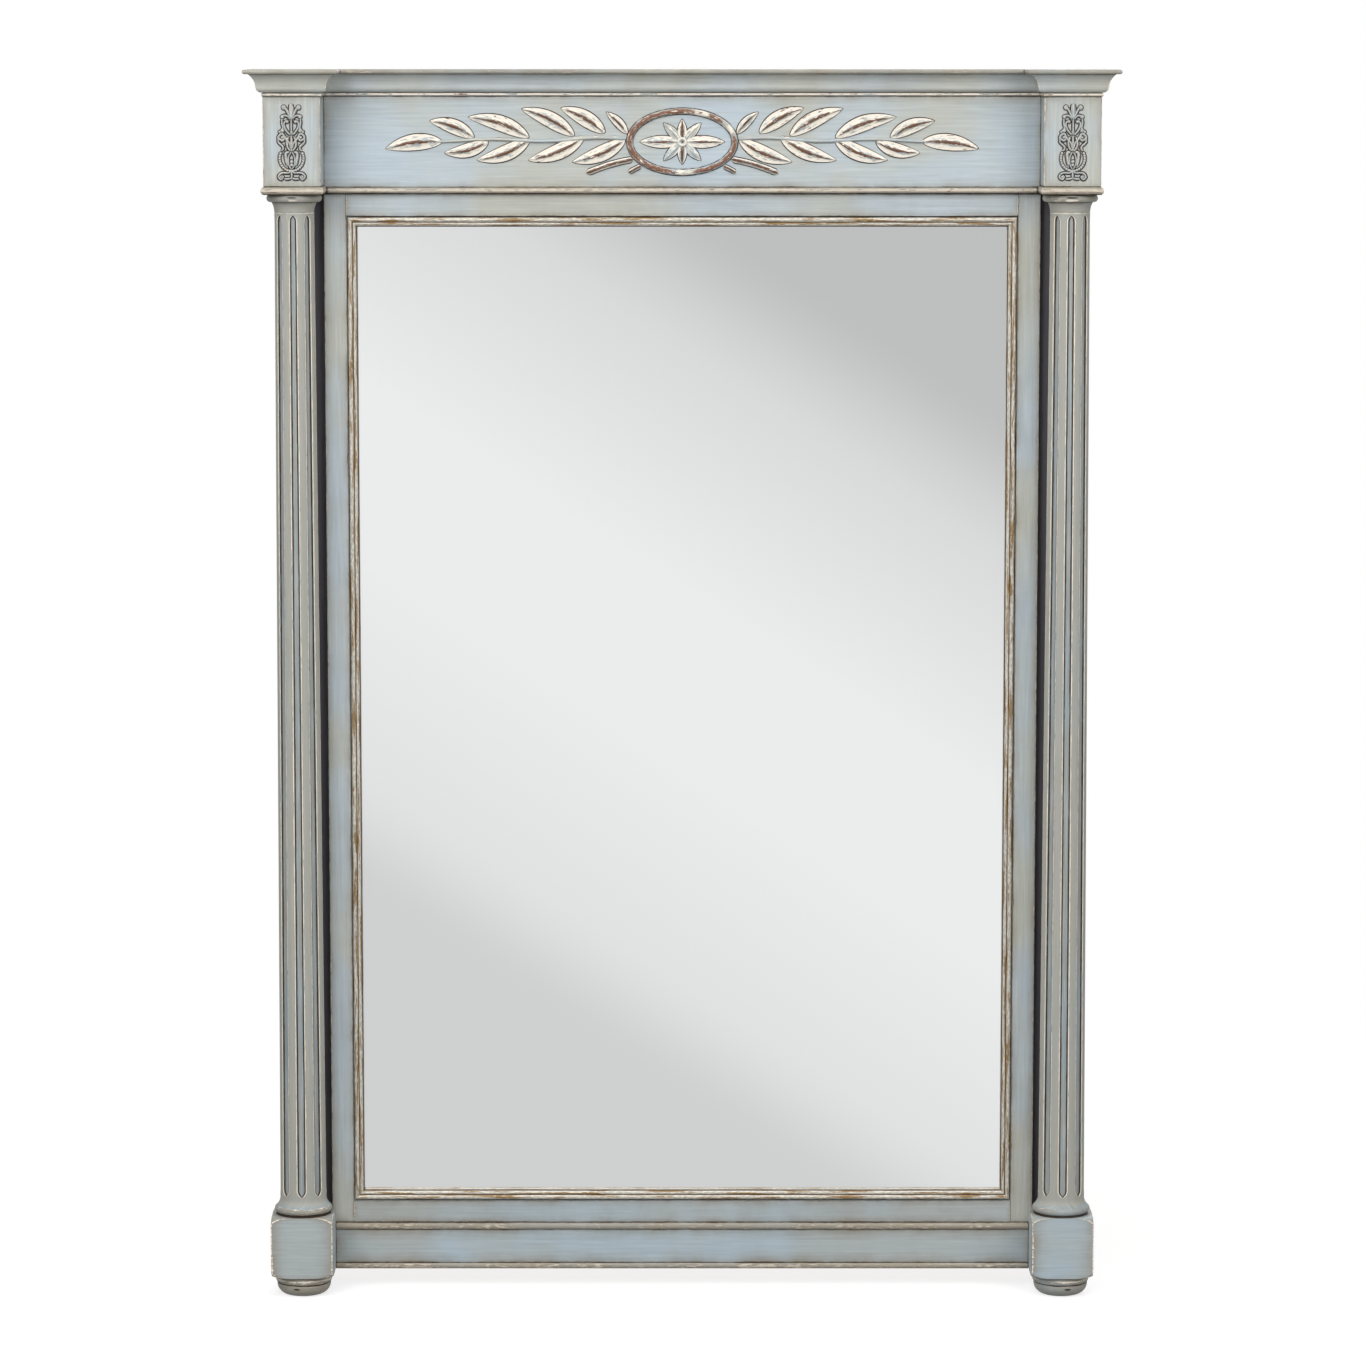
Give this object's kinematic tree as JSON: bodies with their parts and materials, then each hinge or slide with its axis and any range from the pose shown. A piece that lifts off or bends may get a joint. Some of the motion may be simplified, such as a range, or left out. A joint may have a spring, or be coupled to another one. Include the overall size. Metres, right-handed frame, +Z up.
{
  "type": "trumeau mirror",
  "caption": "Tall painted mirror with fluted columns on bun feet, a laurel frieze under a broken-forward cornice, and hanging rings behind.",
  "frame": {"origin": "on the floor under the middle of the width and depth", "axes": "+X to the right as seen from the front, +Y back into the wall, +Z up"},
  "size_m": [1.0914, 0.1264, 1.5635],
  "materials": {
    "blue_grey_paint": "chalky blue-grey paint on wood, rubbed through at the edges",
    "column_paint": "blue-grey paint under a warm glaze on turned wood",
    "rubbed_edge_paint": "paint rubbed back to a cream ground coat",
    "rubbed_carving": "cream ground coat worn to red-brown wood",
    "glazed_composition": "moulded composition ornament with dark glaze in its hollows",
    "champagne_leaf": "champagne-coloured metal leaf, distressed",
    "silvered_glass": "silvered float glass",
    "ground_frame_pine": "planed pine, waxed",
    "back_board_plywood": "thin plywood",
    "steel_screws": "zinc-plated steel",
    "brass_fittings": "dull brass"
  },
  "bodies": {
    "mirror": {"applique_left": "glazed_composition", "applique_right": "glazed_composition", "astragal_centre": "rubbed_edge_paint", "astragal_left": "rubbed_edge_paint", "astragal_right": "rubbed_edge_paint", "back_board": "back_board_plywood", "back_board_screws": "steel_screws", "bead_bottom": "champagne_leaf", "bead_left": "champagne_leaf", "bead_right": "champagne_leaf", "bead_top": "champagne_leaf", "cap_board": "rubbed_edge_paint", "capital_left": "blue_grey_paint", "capital_right": "blue_grey_paint", "column_base_left": "blue_grey_paint", "column_base_right": "blue_grey_paint", "column_shaft_left": "column_paint", "column_shaft_right": "column_paint", "crossed_stems_left": "rubbed_carving", "crossed_stems_right": "rubbed_carving", "crown_centre": "blue_grey_paint", "crown_left": "blue_grey_paint", "crown_right": "blue_grey_paint", "die_left": "blue_grey_paint", "die_moulding_left": "rubbed_edge_paint", "die_moulding_right": "rubbed_edge_paint", "die_right": "blue_grey_paint", "facing_rail_bottom": "blue_grey_paint", "facing_rail_top": "blue_grey_paint", "facing_stile_left": "blue_grey_paint", "facing_stile_right": "blue_grey_paint", "foot_left": "blue_grey_paint", "foot_right": "blue_grey_paint", "frieze_board": "blue_grey_paint", "frieze_moulding": "rubbed_edge_paint", "glazing_blocks": "ground_frame_pine", "hanger_screws": "steel_screws", "hanger_strap_left": "brass_fittings", "hanger_strap_right": "brass_fittings", "laurel_spray_left": "rubbed_carving", "laurel_spray_right": "rubbed_carving", "mirror_glass": "silvered_glass", "oval_ring": "rubbed_carving", "plinth_board": "blue_grey_paint", "plinth_cap_strip": "rubbed_edge_paint", "plinth_foot_strip": "rubbed_edge_paint", "post_left": "ground_frame_pine", "post_right": "ground_frame_pine", "rail_bottom": "ground_frame_pine", "rail_cap": "ground_frame_pine", "rail_hanging": "ground_frame_pine", "rosette": "rubbed_carving"},
    "hanger_ring_left": {"hanger_ring_left": "brass_fittings"},
    "hanger_ring_right": {"hanger_ring_right": "brass_fittings"}
  },
  "joints": [
    {"name": "hanger_swing_right", "type": "hinge", "parent": "mirror", "child": "hanger_ring_right", "pos_m": [0.3, 0.05905, 1.4542], "axis": [1, 0, 0], "range_deg": [0, 180]},
    {"name": "hanger_swing_left", "type": "hinge", "parent": "mirror", "child": "hanger_ring_left", "pos_m": [-0.3, 0.05905, 1.4542], "axis": [1, 0, 0], "range_deg": [0, 180]}
  ]
}
